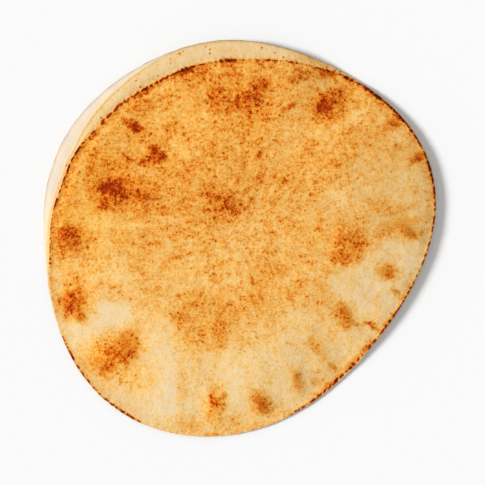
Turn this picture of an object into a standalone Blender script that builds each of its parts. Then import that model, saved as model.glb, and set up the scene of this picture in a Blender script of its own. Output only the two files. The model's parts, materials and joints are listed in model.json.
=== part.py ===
"""Pita bread: one thin round pocket loaf, baked and uncut, lying flat on its underside.

Two skins of dough meet in a seam that runs right round the loaf. On the near and right sides
the seam is pinched out into a thin lip, which curls up off the table at the right. On the far
left side the lower skin has rolled out past the seam: a flat band, a crease, and then a
sloping wall.
Sizes are in metres, +Z is up, and the origin is under the middle of the loaf's box.
"""

from collections import namedtuple

import bmesh
import bpy
import numpy as np

MM = 0.001

# Plan outline: a mean radius, and the low waves that make it a blunt, uneven round
MEAN_RADIUS = 117.6 * MM
Wave = namedtuple("Wave", "count height crest_deg")
OUTLINE_WAVES = (
    Wave(1, 5.9 * MM, 157),
    Wave(2, 5.5 * MM, 47),
    Wave(3, 4.25 * MM, 13),
    Wave(4, 0.3 * MM, 21),
    Wave(5, 1.15 * MM, 16),
    Wave(6, 0.35 * MM, 33),
)

# The seam leaves the edge, runs this far inside it, and rejoins it, by azimuth in degrees
SEAM_SETBACK = 12.8 * MM
SEAM_LEAVES = (48, 93)
SEAM_REJOINS = (138, 208)
SEAM_WAVES = (Wave(4, 0.7 * MM, 33), Wave(16, 0.7 * MM, 3), Wave(17, 0.6 * MM, 19))

# The crease below the band starts at the edge and works its way in towards the seam
CREASE_STARTS_DEG = 108
CREASE_PER_DEG = 0.21 * MM
CREASE_TO_SEAM = 1.4 * MM

# The rim is fully rolled where the seam lies at least this far inside the edge
FULLY_ROLLED_AT = 8.0 * MM

# Heights of the rim, from the shoulder of the top skin down to the edge of the flat foot.
# A station's inset from the outline is seam * (seam inset) + crease * (crease inset), plus
# its own inset for a pinched or a rolled rim.
Station = namedtuple("Station", "name seam crease pinched_in rolled_in pinched_up rolled_up")
RIM = (
    Station("shoulder", 1.00, 0.00, 7.00 * MM, 7.00 * MM, 7.3 * MM, 9.4 * MM),
    Station("dip inside the lip", 1.00, 0.00, 2.90 * MM, 2.90 * MM, 6.6 * MM, 8.5 * MM),
    Station("crest of the lip", 1.00, 0.00, 1.10 * MM, 1.10 * MM, 6.9 * MM, 8.8 * MM),
    Station("edge of the lip", 1.00, 0.00, 0.30 * MM, 0.20 * MM, 6.6 * MM, 8.5 * MM),
    Station("foot of the lip", 0.96, 0.00, 0.00 * MM, 0.00 * MM, 6.2 * MM, 7.9 * MM),
    Station("inner band", 0.55, 0.45, 0.00 * MM, 0.30 * MM, 5.9 * MM, 7.7 * MM),
    Station("outer band", 0.15, 0.85, 0.00 * MM, 0.90 * MM, 5.6 * MM, 7.3 * MM),
    Station("crease", 0.00, 1.00, 0.00 * MM, 0.40 * MM, 5.3 * MM, 6.7 * MM),
    Station("top of the wall", 0.00, 0.70, 0.05 * MM, 0.10 * MM, 5.0 * MM, 5.9 * MM),
    Station("middle of the wall", 0.00, 0.30, 0.25 * MM, 0.00 * MM, 4.7 * MM, 4.4 * MM),
    Station("bulge of the wall", 0.00, 0.00, 1.20 * MM, 0.00 * MM, 4.1 * MM, 2.7 * MM),
    Station("foot of the wall", 0.00, 0.00, 3.80 * MM, 0.80 * MM, 2.8 * MM, 1.3 * MM),
    Station("heel", 0.00, 0.00, 7.50 * MM, 2.40 * MM, 1.2 * MM, 0.3 * MM),
    Station("edge of the flat foot", 0.00, 0.00, 12.50 * MM, 5.50 * MM, 0.0, 0.0),
)

# The pinched rim curls up to its full height over one stretch, and lies low on either side
LOW_RIM_SHARE = 0.34
CURL_MIDDLE_DEG = 2
CURL_SPREAD_DEG = 58

# Top skin: an even low dome, which the rim's own height bends up or down near the shoulder
CENTRE_HEIGHT = 11.0 * MM
DOME_EDGE_HEIGHT = 6.5 * MM
DOME_BEND_POWER = 4
RELIEF_FADES_FROM_SEAM = (0.8 * MM, 9.0 * MM)

# Broad swells and hollows that the loaf kept as it sank after baking
Swell = namedtuple("Swell", "x y radius height")
SWELLS = (
    Swell(-34 * MM, 26 * MM, 46 * MM, 0.9 * MM),
    Swell(24 * MM, 44 * MM, 38 * MM, -0.8 * MM),
    Swell(48 * MM, -18 * MM, 40 * MM, 0.8 * MM),
    Swell(-20 * MM, -48 * MM, 40 * MM, -0.8 * MM),
    Swell(-68 * MM, -20 * MM, 30 * MM, 0.6 * MM),
    Swell(16 * MM, -84 * MM, 30 * MM, 0.5 * MM),
    Swell(70 * MM, 36 * MM, 30 * MM, -0.5 * MM),
)

# Blisters: length, width and turn of an oval, and how high it stands
Blister = namedtuple("Blister", "x y length width turn_deg height")
BLISTERS = (
    Blister(-75 * MM, 28 * MM, 18 * MM, 16 * MM, 0, 1.0 * MM),
    Blister(-58 * MM, 23 * MM, 13 * MM, 9 * MM, 160, 0.6 * MM),
    Blister(-103 * MM, 1 * MM, 17 * MM, 14 * MM, 90, 0.8 * MM),
    Blister(-100 * MM, -39 * MM, 22 * MM, 18 * MM, 100, 0.9 * MM),
    Blister(-73 * MM, -70 * MM, 30 * MM, 24 * MM, 40, 1.1 * MM),
    Blister(-64 * MM, 67 * MM, 12 * MM, 10 * MM, 140, 0.6 * MM),
    Blister(-51 * MM, 49 * MM, 15 * MM, 12 * MM, 150, 0.7 * MM),
    Blister(-11 * MM, 22 * MM, 30 * MM, 20 * MM, 160, 0.7 * MM),
    Blister(8 * MM, 86 * MM, 22 * MM, 20 * MM, 50, 0.9 * MM),
    Blister(-13 * MM, 80 * MM, 18 * MM, 15 * MM, 20, 0.6 * MM),
    Blister(53 * MM, 81 * MM, 24 * MM, 17 * MM, 30, 0.9 * MM),
    Blister(63 * MM, 0 * MM, 27 * MM, 22 * MM, 60, 0.9 * MM),
    Blister(98 * MM, 4 * MM, 18 * MM, 12 * MM, 150, 0.6 * MM),
    Blister(62 * MM, -46 * MM, 18 * MM, 13 * MM, 120, 0.6 * MM),
    Blister(-15 * MM, -100 * MM, 21 * MM, 15 * MM, 90, 0.8 * MM),
    Blister(13 * MM, -100 * MM, 21 * MM, 15 * MM, 120, 0.8 * MM),
    Blister(34 * MM, -84 * MM, 14 * MM, 11 * MM, 110, 0.5 * MM),
)

# Faint pleats that run in from the rim on the right and at the bottom
PLEAT_COUNT = 26
PLEAT_HEIGHT = 0.35 * MM
PLEAT_MIDDLE_DEG = 310
PLEAT_SPREAD_DEG = 75
PLEAT_REACH = (0.62, 0.86)

# Mesh rows: segments round the loaf, rows on the top skin and on the flat foot
SEGMENTS = 120
TOP_ROWS = 28
FOOT_ROWS = 4

CRUST_COLOUR = (0.83, 0.40, 0.10, 1.0)
CRUST_ROUGHNESS = 0.78


def ramp(value, start, end):
    """Smooth step from 0 at start to 1 at end."""
    share = np.clip((value - start) / (end - start), 0.0, 1.0)
    return share * share * (3.0 - 2.0 * share)


def waves(azimuth, table):
    return sum(w.height * np.cos(w.count * (azimuth - np.radians(w.crest_deg))) for w in table)


def outline_radius(azimuth):
    return MEAN_RADIUS + waves(azimuth, OUTLINE_WAVES)


def seam_inset(azimuth):
    degrees = np.degrees(azimuth) % 360.0
    share = ramp(degrees, *SEAM_LEAVES) * (1.0 - ramp(degrees, *SEAM_REJOINS))
    return share * (SEAM_SETBACK + waves(azimuth, SEAM_WAVES))


def crease_inset(azimuth):
    degrees = np.degrees(azimuth) % 360.0
    climbing = CREASE_PER_DEG * (degrees - CREASE_STARTS_DEG)
    return np.clip(np.minimum(climbing, seam_inset(azimuth) - CREASE_TO_SEAM), 0.0, None)


def mound(distance):
    """A rounded bump: 1 in its middle and 0 from distance 1 outwards."""
    return np.clip(1.0 - distance * distance, 0.0, None) ** 2


def degrees_from(azimuth, middle_deg):
    return (np.degrees(azimuth) - middle_deg + 180.0) % 360.0 - 180.0


def pinched_lift(azimuth):
    """Share of its full height that the pinched rim reaches; the curl has an even top."""
    off_middle = degrees_from(azimuth, CURL_MIDDLE_DEG) / CURL_SPREAD_DEG
    return LOW_RIM_SHARE + (1.0 - LOW_RIM_SHARE) * mound(off_middle * off_middle)


def rim_point(azimuth, station):
    """Distance from the axis and height of one rim station, all round the loaf."""
    seam = seam_inset(azimuth)
    rolled = ramp(seam, 0.0, FULLY_ROLLED_AT)
    own_inset = station.pinched_in + rolled * (station.rolled_in - station.pinched_in)
    inset = station.seam * seam + station.crease * crease_inset(azimuth) + own_inset
    pinched_up = station.pinched_up * pinched_lift(azimuth)
    return outline_radius(azimuth) - inset, pinched_up + rolled * (station.rolled_up - pinched_up)


def swell_height(x, y):
    return sum(s.height * mound(np.hypot(x - s.x, y - s.y) / s.radius) for s in SWELLS)


def blister_height(x, y):
    height = np.zeros_like(x)
    for b in BLISTERS:
        turn = np.radians(b.turn_deg)
        along = (x - b.x) * np.cos(turn) + (y - b.y) * np.sin(turn)
        across = (y - b.y) * np.cos(turn) - (x - b.x) * np.sin(turn)
        height += b.height * mound(np.hypot(2.0 * along / b.length, 2.0 * across / b.width))
    return height


def pleat_height(azimuth, radius):
    sector = mound(degrees_from(azimuth, PLEAT_MIDDLE_DEG) / PLEAT_SPREAD_DEG)
    reach = ramp(radius / outline_radius(azimuth), *PLEAT_REACH)
    return PLEAT_HEIGHT * sector * reach * np.cos(PLEAT_COUNT * azimuth)


def top_relief(azimuth, radius):
    """Everything that stands on the plain dome; it dies away towards the seam."""
    x = radius * np.cos(azimuth)
    y = radius * np.sin(azimuth)
    inside_seam = outline_radius(azimuth) - seam_inset(azimuth) - radius
    relief = swell_height(x, y) + blister_height(x, y) + pleat_height(azimuth, radius)
    return relief * ramp(inside_seam, *RELIEF_FADES_FROM_SEAM)


def top_row(azimuth, row):
    """A row of the top skin, from the middle at row 0 to the shoulder at TOP_ROWS."""
    shoulder_radius, shoulder_height = rim_point(azimuth, RIM[0])
    share = row / TOP_ROWS
    dome = CENTRE_HEIGHT - (CENTRE_HEIGHT - DOME_EDGE_HEIGHT) * share**2
    dome += (shoulder_height - DOME_EDGE_HEIGHT) * share**DOME_BEND_POWER
    return shoulder_radius * share, dome


def foot_row(azimuth, row):
    """A row of the flat foot, from its edge at row 0 to the middle at FOOT_ROWS."""
    edge_radius, edge_height = rim_point(azimuth, RIM[-1])
    return edge_radius * (1.0 - row / FOOT_ROWS), edge_height


def loaf_row(azimuth, row):
    """Distance from the axis and height of any row, counted from the top of the loaf."""
    last_rim_row = TOP_ROWS + len(RIM) - 1
    if row <= TOP_ROWS:
        radius, height = top_row(azimuth, row)
    elif row <= last_rim_row:
        radius, height = rim_point(azimuth, RIM[row - TOP_ROWS])
    else:
        return foot_row(azimuth, row - last_rim_row)
    if row < TOP_ROWS + 3:
        height = height + top_relief(azimuth, radius)
    return radius, height


def shape_loaf(mesh):
    """Move the vertices of a round ball, row by row, to the surface of the loaf."""
    row_count = TOP_ROWS + len(RIM) - 1 + FOOT_ROWS
    ball = bmesh.new()
    bmesh.ops.create_uvsphere(ball, u_segments=SEGMENTS, v_segments=row_count, radius=1.0)
    points = np.array([vertex.co for vertex in ball.verts])
    azimuth = np.arctan2(points[:, 1], points[:, 0])
    row_of = np.rint(np.arccos(np.clip(points[:, 2], -1.0, 1.0)) / np.pi * row_count).astype(int)
    for row in range(row_count + 1):
        chosen = row_of == row
        radius, height = loaf_row(azimuth[chosen], row)
        points[chosen, 0] = radius * np.cos(azimuth[chosen])
        points[chosen, 1] = radius * np.sin(azimuth[chosen])
        points[chosen, 2] = height
    low, high = points.min(axis=0), points.max(axis=0)
    points[:, :2] -= (low[:2] + high[:2]) / 2.0
    for vertex, point in zip(ball.verts, points):
        vertex.co = point
    ball.to_mesh(mesh)
    ball.free()


def crust_material():
    material = bpy.data.materials.new("baked_crust")
    material.use_nodes = True
    shader = material.node_tree.nodes["Principled BSDF"]
    shader.inputs["Base Color"].default_value = CRUST_COLOUR
    shader.inputs["Roughness"].default_value = CRUST_ROUGHNESS
    shader.inputs["Metallic"].default_value = 0.0
    return material


def clear_scene():
    for obj in list(bpy.data.objects):
        bpy.data.objects.remove(obj)


def make_loaf(collection):
    mesh = bpy.data.meshes.new("pita_bread")
    shape_loaf(mesh)
    mesh.shade_smooth()
    mesh.materials.append(crust_material())
    loaf = bpy.data.objects.new("pita_bread", mesh)
    collection.objects.link(loaf)
    return loaf


def main():
    clear_scene()
    collection = bpy.data.collections.new("pita_bread")
    bpy.context.scene.collection.children.link(collection)
    make_loaf(collection)


main()
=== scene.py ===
import json
import math
from collections import namedtuple

import bpy
import numpy as np
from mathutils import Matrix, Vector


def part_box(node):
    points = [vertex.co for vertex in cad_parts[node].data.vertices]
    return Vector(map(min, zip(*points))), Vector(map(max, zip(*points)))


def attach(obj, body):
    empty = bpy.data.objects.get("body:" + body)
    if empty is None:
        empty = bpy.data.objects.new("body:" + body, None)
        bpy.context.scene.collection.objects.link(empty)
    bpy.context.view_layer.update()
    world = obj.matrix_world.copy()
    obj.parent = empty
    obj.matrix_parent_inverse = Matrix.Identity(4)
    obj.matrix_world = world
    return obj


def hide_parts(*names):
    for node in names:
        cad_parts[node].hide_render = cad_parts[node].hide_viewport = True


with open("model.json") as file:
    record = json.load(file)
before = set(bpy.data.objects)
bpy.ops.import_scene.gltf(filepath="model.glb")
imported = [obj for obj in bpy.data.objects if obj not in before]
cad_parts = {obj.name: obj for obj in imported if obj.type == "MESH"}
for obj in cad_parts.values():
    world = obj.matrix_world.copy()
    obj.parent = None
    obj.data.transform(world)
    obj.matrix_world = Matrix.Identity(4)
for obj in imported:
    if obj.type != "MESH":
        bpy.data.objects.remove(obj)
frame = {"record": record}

# The finish of one pita bread, seen from straight above on a pale floor.
# Sizes are in metres. Places on the loaf are measured from the axis of its outline, with +X
# to the right and +Y to the far side; the whole loaf is then moved to the solid's own origin.

MM = 0.001
NODE = frame["record"]["subparts"][0]["node"]

# A sector of the loaf: it is strongest at its middle and dies away over its spread
Sector = namedtuple("Sector", "middle_deg spread_deg")

# Plan outline, the seam, the crease and the rim, as in the solid
MEAN_RADIUS = 117.6 * MM
Wave = namedtuple("Wave", "count height crest_deg")
OUTLINE_WAVES = (
    Wave(1, 5.9 * MM, 157),
    Wave(2, 5.5 * MM, 47),
    Wave(3, 4.25 * MM, 13),
    Wave(4, 0.3 * MM, 21),
    Wave(5, 1.15 * MM, 16),
    Wave(6, 0.35 * MM, 33),
)
SEAM_SETBACK = 12.8 * MM
SEAM_LEAVES = (48, 93)
SEAM_REJOINS = (138, 208)
SEAM_WAVES = (Wave(4, 0.7 * MM, 33), Wave(16, 0.7 * MM, 3), Wave(17, 0.6 * MM, 19))
CREASE_STARTS_DEG = 108
CREASE_PER_DEG = 0.21 * MM
CREASE_TO_SEAM = 1.4 * MM
FULLY_ROLLED_AT = 8.0 * MM

# Rim stations, from the shoulder of the top skin down to the edge of the flat foot. The last
# value is the number of mesh rows from the station before.
Station = namedtuple("Station", "name seam crease pinched_in rolled_in pinched_up rolled_up rows")
RIM = (
    Station("shoulder", 1.00, 0.00, 7.00 * MM, 7.00 * MM, 7.3 * MM, 9.4 * MM, 0),
    Station("dip inside the lip", 1.00, 0.00, 2.90 * MM, 2.90 * MM, 6.6 * MM, 8.5 * MM, 5),
    Station("crest of the lip", 1.00, 0.00, 1.10 * MM, 1.10 * MM, 6.9 * MM, 8.8 * MM, 4),
    Station("edge of the lip", 1.00, 0.00, 0.30 * MM, 0.20 * MM, 6.6 * MM, 8.5 * MM, 3),
    Station("foot of the lip", 0.96, 0.00, 0.00 * MM, 0.00 * MM, 6.2 * MM, 7.9 * MM, 2),
    Station("inner band", 0.55, 0.45, 0.00 * MM, 0.30 * MM, 5.9 * MM, 7.7 * MM, 5),
    Station("outer band", 0.15, 0.85, 0.00 * MM, 0.90 * MM, 5.6 * MM, 7.3 * MM, 5),
    Station("crease", 0.00, 1.00, 0.00 * MM, 0.40 * MM, 5.3 * MM, 6.7 * MM, 3),
    Station("top of the wall", 0.00, 0.70, 0.05 * MM, 0.10 * MM, 5.0 * MM, 5.9 * MM, 4),
    Station("middle of the wall", 0.00, 0.30, 0.25 * MM, 0.00 * MM, 4.7 * MM, 4.4 * MM, 4),
    Station("bulge of the wall", 0.00, 0.00, 1.20 * MM, 0.00 * MM, 4.1 * MM, 2.7 * MM, 4),
    Station("foot of the wall", 0.00, 0.00, 3.80 * MM, 0.80 * MM, 2.8 * MM, 1.3 * MM, 2),
    Station("heel", 0.00, 0.00, 7.50 * MM, 2.40 * MM, 1.2 * MM, 0.3 * MM, 2),
    Station("edge of the flat foot", 0.00, 0.00, 12.50 * MM, 5.50 * MM, 0.0, 0.0, 3),
)
LIP_DIP, LIP_FOOT, CREASE, BULGE = 1, 4, 7, 10
LOW_RIM_SHARE = 0.34
CURLED_RIM = Sector(2, 58)

# The low dome of the top skin, with its swells, blisters and pleats
CENTRE_HEIGHT = 11.0 * MM
DOME_EDGE_HEIGHT = 6.5 * MM
DOME_BEND_POWER = 4
RELIEF_FADES_FROM_SEAM = (0.8 * MM, 9.0 * MM)
Swell = namedtuple("Swell", "x y radius height")
SWELLS = (
    Swell(-34 * MM, 26 * MM, 46 * MM, 0.9 * MM),
    Swell(24 * MM, 44 * MM, 38 * MM, -0.8 * MM),
    Swell(48 * MM, -18 * MM, 40 * MM, 0.8 * MM),
    Swell(-20 * MM, -48 * MM, 40 * MM, -0.8 * MM),
    Swell(-68 * MM, -20 * MM, 30 * MM, 0.6 * MM),
    Swell(16 * MM, -84 * MM, 30 * MM, 0.5 * MM),
    Swell(70 * MM, 36 * MM, 30 * MM, -0.5 * MM),
)
Blister = namedtuple("Blister", "x y length width turn_deg height")
BLISTERS = (
    Blister(-75 * MM, 28 * MM, 18 * MM, 16 * MM, 0, 1.0 * MM),
    Blister(-58 * MM, 23 * MM, 13 * MM, 9 * MM, 160, 0.6 * MM),
    Blister(-103 * MM, 1 * MM, 17 * MM, 14 * MM, 90, 0.8 * MM),
    Blister(-100 * MM, -39 * MM, 22 * MM, 18 * MM, 100, 0.9 * MM),
    Blister(-73 * MM, -70 * MM, 30 * MM, 24 * MM, 40, 1.1 * MM),
    Blister(-64 * MM, 67 * MM, 12 * MM, 10 * MM, 140, 0.6 * MM),
    Blister(-51 * MM, 49 * MM, 15 * MM, 12 * MM, 150, 0.7 * MM),
    Blister(-11 * MM, 22 * MM, 30 * MM, 20 * MM, 160, 0.7 * MM),
    Blister(8 * MM, 86 * MM, 22 * MM, 20 * MM, 50, 0.9 * MM),
    Blister(-13 * MM, 80 * MM, 18 * MM, 15 * MM, 20, 0.6 * MM),
    Blister(53 * MM, 81 * MM, 24 * MM, 17 * MM, 30, 0.9 * MM),
    Blister(63 * MM, 0 * MM, 27 * MM, 22 * MM, 60, 0.9 * MM),
    Blister(98 * MM, 4 * MM, 18 * MM, 12 * MM, 150, 0.6 * MM),
    Blister(62 * MM, -46 * MM, 18 * MM, 13 * MM, 120, 0.6 * MM),
    Blister(-15 * MM, -100 * MM, 21 * MM, 15 * MM, 90, 0.8 * MM),
    Blister(13 * MM, -100 * MM, 21 * MM, 15 * MM, 120, 0.8 * MM),
    Blister(34 * MM, -84 * MM, 14 * MM, 11 * MM, 110, 0.5 * MM),
)
PLEAT_COUNT = 26
PLEAT_HEIGHT = 0.35 * MM
PLEATED_RIM = Sector(310, 75)
PLEAT_REACH = (0.62, 0.86)

# Mesh rings: segments round the rim, halved each time the radius halves
RIM_SEGMENTS = 720
LEAST_SEGMENTS = 45
TOP_RINGS = 106
FOOT_RINGS = 50
FOOT_SEGMENTS = 360
NEXT_TO_RIM = 0.97

# Two discs of the unrolled skin, the top one and the one below the bulge of the rim
Disc = namedtuple("Disc", "u v radius")
TOP_DISC = Disc(0.37, 0.63, 0.36)
UNDER_DISC = Disc(0.78, 0.22, 0.21)

# Fine relief, all of it cut inwards from the solid's form: size across, and depth
Grain = namedtuple("Grain", "cell depth seed")
CRUST_GRAINS = (
    Grain(9.0 * MM, 0.13 * MM, 11),
    Grain(4.2 * MM, 0.10 * MM, 12),
    Grain(2.2 * MM, 0.06 * MM, 13),
)
RIM_GRAINS = (Grain(9.0 * MM, 0.22 * MM, 21), Grain(3.6 * MM, 0.12 * MM, 22))
FOOT_GRAINS = (Grain(16.0 * MM, 0.35 * MM, 31), Grain(5.0 * MM, 0.12 * MM, 32))
MEAN_CUT_SHARE = 0.6
NOISE_LATTICE = 128
NOISE_GAIN = 1.6
BEAD_COUNT = 172
BEAD_DRIFT = Grain(14.0 * MM, 2.6, 61)
BEAD_NOTCH = 0.35 * MM
SHOULDER_EASE = 0.32 * MM
SHOULDER_EASE_MIDDLE = 7.6 * MM
SHOULDER_EASE_REACH = 5.6 * MM

# Where one zone of the rim gives way to the next, in stations
CRUST_GRAIN_ENDS = (LIP_FOOT - 0.5, LIP_FOOT + 0.5)
FOOT_GRAIN_STARTS = (len(RIM) - 2.0, len(RIM) - 1.0)
BEADED_LIP = (LIP_DIP + 0.5, LIP_FOOT)
TOP_SKIN_ENDS = (LIP_FOOT - 0.6, LIP_FOOT + 0.2)
CHAR_ENDS = (LIP_FOOT + 0.5, LIP_FOOT + 2.0)
WALL_STARTS = (CREASE + 0.1, CREASE + 0.9)
EDGE_SHADE_LINE_ENDS = (BULGE, BULGE + 1.0)
UNDERSIDE_STARTS = (len(RIM) - 2.5, len(RIM) - 1.0)
CREASE_REACH = 0.4

# Bake marks of the top skin: ovals in millimetres, with how dark they are. Bare pale crust
# is about 0, golden crust 50, toasted crust 85 and char 210. A crisp mark has a sharper edge.
# Later marks lie over earlier ones.
Mark = namedtuple("Mark", "x y length width turn_deg darkness crispness", defaults=(3.0,))
GOLDEN_CRUST = 48
BROAD_MARKS = (
    Mark(62, 62, 110, 70, -40, 38),
    Mark(15, -2, 130, 62, 0, 39),
    Mark(-10, -32, 190, 52, 5, 31),
    Mark(-28, -92, 180, 62, 8, 14),
    Mark(62, -72, 110, 56, 45, 22),
    Mark(96, -8, 56, 62, 0, 28),
    Mark(-92, -54, 60, 34, 20, 10),
)
PALE_MARKS = (
    Mark(-78, -46, 28, 19, 0, 6, 5),
    Mark(-97, -58, 22, 16, 30, 8, 4),
    Mark(-105, -52, 15, 9, 0, 8),
    Mark(-50, -60, 28, 26, 0, 8),
    Mark(-48, -88, 22, 50, 0, 6),
    Mark(-4, -86, 14, 34, 0, 8),
    Mark(-12, -71, 16, 12, 0, 13),
    Mark(10, -75, 24, 20, 0, 12),
    Mark(28, -93, 20, 18, 0, 13),
    Mark(27, -64, 28, 26, 0, 16),
    Mark(36, -48, 22, 12, 0, 18),
    Mark(16, -56, 26, 12, 0, 21),
    Mark(46, -62, 16, 18, 0, 17),
    Mark(62, -63, 24, 20, 45, 18),
    Mark(75, -23, 46, 22, 36, 17, 8),
    Mark(84, -37, 44, 22, 58, 17, 6),
    Mark(67, -25, 28, 11, 4, 17, 6),
    Mark(76, -28, 28, 26, 0, 17, 8),
    Mark(97, -12, 26, 22, 0, 17, 5),
    Mark(88, -45, 22, 14, 45, 18),
    Mark(60, 22, 30, 20, 0, 24),
    Mark(48, 8, 14, 10, 0, 32),
    Mark(86, 32, 38, 22, 0, 32),
    Mark(102, 32, 20, 22, 0, 31),
    Mark(94, 60, 18, 12, 30, 33),
    Mark(30, 65, 18, 24, 0, 33),
    Mark(16, 45, 14, 10, 0, 36),
    Mark(-16, 59, 14, 10, 0, 35),
    Mark(53, 62, 20, 13, 0, 34),
    Mark(66, 73, 20, 9, 20, 33),
    Mark(66, 92, 18, 8, -35, 37),
    Mark(-80, 8, 32, 16, 0, 24),
    Mark(-80, -3, 20, 12, 0, 27),
    Mark(-94, 20, 14, 34, 0, 33),
    Mark(-97, -18, 18, 12, 0, 25),
    Mark(-76, -19, 38, 18, 0, 19),
    Mark(-82, 60, 24, 18, 0, 39),
    Mark(-70, 77, 10, 8, 0, 30),
    Mark(-50, 73, 20, 15, 0, 33, 4),
    Mark(-38, 80, 16, 10, 0, 44),
    Mark(-34, 53, 18, 12, 0, 35, 4),
    Mark(-27, 72, 20, 15, 0, 31, 4),
    Mark(-43, 92, 16, 10, 0, 34),
)
GOLDEN_MARKS = (
    Mark(-18, -48, 42, 34, 30, 48),
    Mark(-36, -46, 12, 10, 0, 64),
    Mark(-22, -38, 14, 9, 0, 58),
    Mark(-12, -52, 9, 18, -15, 66, 4),
    Mark(-12, -63, 9, 8, 0, 58),
    Mark(-42, -40, 16, 10, 0, 28),
    Mark(-76, -69, 33, 27, 42, 46, 4),
    Mark(-72, -68, 27, 15, 54, 81, 6),
    Mark(-80, -78, 12, 8, 60, 80, 4),
    Mark(-98, -38, 23, 28, 10, 44, 4),
    Mark(-71, 28, 42, 24, -8, 71, 4),
    Mark(-78, 43, 28, 13, 0, 60),
    Mark(-38, 22, 18, 16, 0, 59),
    Mark(-40, 39, 18, 12, 0, 56),
    Mark(-59, 80, 17, 11, 0, 63),
    Mark(-42, 77, 8, 7, 0, 50),
    Mark(-10, 20, 36, 21, 20, 64),
    Mark(-14, 48, 10, 8, 0, 52),
    Mark(5, 84, 34, 25, 35, 70),
    Mark(22, 77, 14, 12, 0, 54),
    Mark(54, 81, 30, 19, 35, 75, 4),
    Mark(64, -3, 26, 25, 0, 64, 6),
    Mark(86, 5, 24, 8, 34, 50, 4),
    Mark(62, -46, 18, 11, -55, 56, 4),
    Mark(87, -20, 14, 11, -30, 50),
    Mark(-14, -99, 13, 19, 0, 50),
    Mark(12, -99, 18, 12, -50, 52),
    Mark(-32, -113, 16, 9, 0, 44),
    Mark(-14, -110, 9, 8, 0, 42),
    Mark(-35, -91, 8, 22, 0, 28),
    Mark(-61, -83, 24, 18, 0, 26),
    Mark(-22, -80, 14, 16, 0, 24),
    Mark(46, -66, 18, 7, -55, 55),
    Mark(34, -86, 14, 8, -65, 60),
    Mark(43, -78, 10, 8, 0, 20),
    Mark(46, -86, 8, 6, 0, 42),
    Mark(100, 6, 22, 16, -10, 52, 4),
    Mark(88, 66, 26, 9, 40, 52),
    Mark(68, 60, 26, 12, 30, 46),
    Mark(81, 60, 18, 13, 40, 51),
    Mark(-60, -18, 22, 7, -45, 42),
    Mark(-51, -32, 9, 12, -30, 44),
    Mark(-38, -10, 16, 8, 0, 47),
    Mark(-89, -1, 8, 8, 0, 50),
    Mark(-12, 93, 10, 12, 0, 60),
    Mark(80, 20, 14, 11, 0, 49),
    Mark(94, 16, 14, 9, 20, 45),
    Mark(28, -10, 22, 9, -10, 48),
    Mark(21, -20, 18, 12, 0, 53),
    Mark(12, -30, 12, 32, 0, 50),
    Mark(30, -32, 16, 10, 0, 42),
    Mark(52, -37, 10, 8, 0, 38),
    Mark(-111, -24, 8, 18, 0, 18),
    Mark(109, 24, 9, 22, 0, 31),
    Mark(-99, 30, 12, 30, -10, 42),
    Mark(-73, 79, 12, 9, 30, 34),
)
SCORCH_MARKS = (
    Mark(-78, 30, 16, 12, -15, 137, 4),
    Mark(-80, 21, 10, 7, 30, 110, 4),
    Mark(-70, 34, 7, 5, 0, 116),
    Mark(-59, 25, 12, 8, -10, 104, 4),
    Mark(-65, 67, 13, 6, -40, 136, 5),
    Mark(-50, 50, 13, 9, -30, 129, 5),
    Mark(-55, 46, 10, 7, 0, 92),
    Mark(-103, 0, 15, 14, 0, 111, 4),
    Mark(-101, -39, 16, 15, 10, 104, 6),
    Mark(-96, -47, 7, 6, 0, 88),
    Mark(-98, -27, 10, 6, 0, 56),
    Mark(-1, 81, 13, 8, 30, 102),
    Mark(4, 82, 15, 10, 35, 114, 4),
    Mark(4, 77, 8, 6, 0, 106),
    Mark(13, 92, 11, 8, 40, 108, 4),
    Mark(-14, 84, 13, 11, 0, 88),
    Mark(-24, 98, 9, 7, 0, 98),
    Mark(-33, 101, 11, 7, 20, 124, 4),
    Mark(52, 81, 14, 10, 35, 126, 5),
    Mark(58, 86, 13, 6, 35, 108, 4),
    Mark(50, 99, 13, 6, -20, 108),
    Mark(-8, 20, 13, 8, -20, 97),
    Mark(-17, 24, 11, 8, -30, 88),
    Mark(71, -2, 7, 15, 0, 79, 5),
    Mark(60, -12, 14, 8, 20, 78, 5),
    Mark(34, 97, 10, 7, 0, 76),
    Mark(-75, -71, 12, 9, 40, 88),
    Mark(-69, -70, 12, 8, 30, 87),
    Mark(-69, -64, 11, 8, 20, 84, 4),
    Mark(89, -21, 9, 6, -35, 98, 4),
    Mark(63, -47, 15, 7, -65, 82, 4),
    Mark(-16, -99, 7, 9, 10, 83, 4),
    Mark(-10, -95, 6, 5, 0, 62),
    Mark(-17, -106, 6, 5, 0, 64),
    Mark(12, -100, 13, 7, -50, 93, 4),
    Mark(107, 48, 13, 5, 32, 98, 4),
    Mark(92, 71, 13, 6, 45, 72),
    Mark(100, 3, 13, 6, -35, 86, 4),
    Mark(-90, 41, 6, 7, 0, 78),
    Mark(29, 78, 11, 3, 35, 96),
    Mark(13, 51, 11, 3, 35, 90),
    Mark(12, 35, 5, 5, 0, 62),
    Mark(3, 34, 5, 4, 0, 60),
    Mark(27, 35, 6, 4, 0, 62),
    Mark(36, 34, 6, 4, 0, 58),
    Mark(54, 45, 9, 5, 0, 54),
    Mark(66, 49, 9, 5, 0, 58),
    Mark(-15, 46, 6, 5, 0, 60),
    Mark(-45, 83, 6, 5, 0, 58),
    Mark(95, 55, 7, 5, 40, 58),
    Mark(79, -53, 10, 3, -25, 98),
    Mark(55, -77, 7, 4, -30, 76),
    Mark(93, -33, 7, 4, -40, 66),
    Mark(12, -35, 5, 14, 0, 60),
    Mark(18, -46, 6, 5, 0, 50),
)
MARK_RAGGEDNESS = (Grain(12.0, 1.1, 41), Grain(5.0, 1.3, 43), Grain(2.6, 0.9, 45))
OVERALL_BAKE = 0.7

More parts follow.
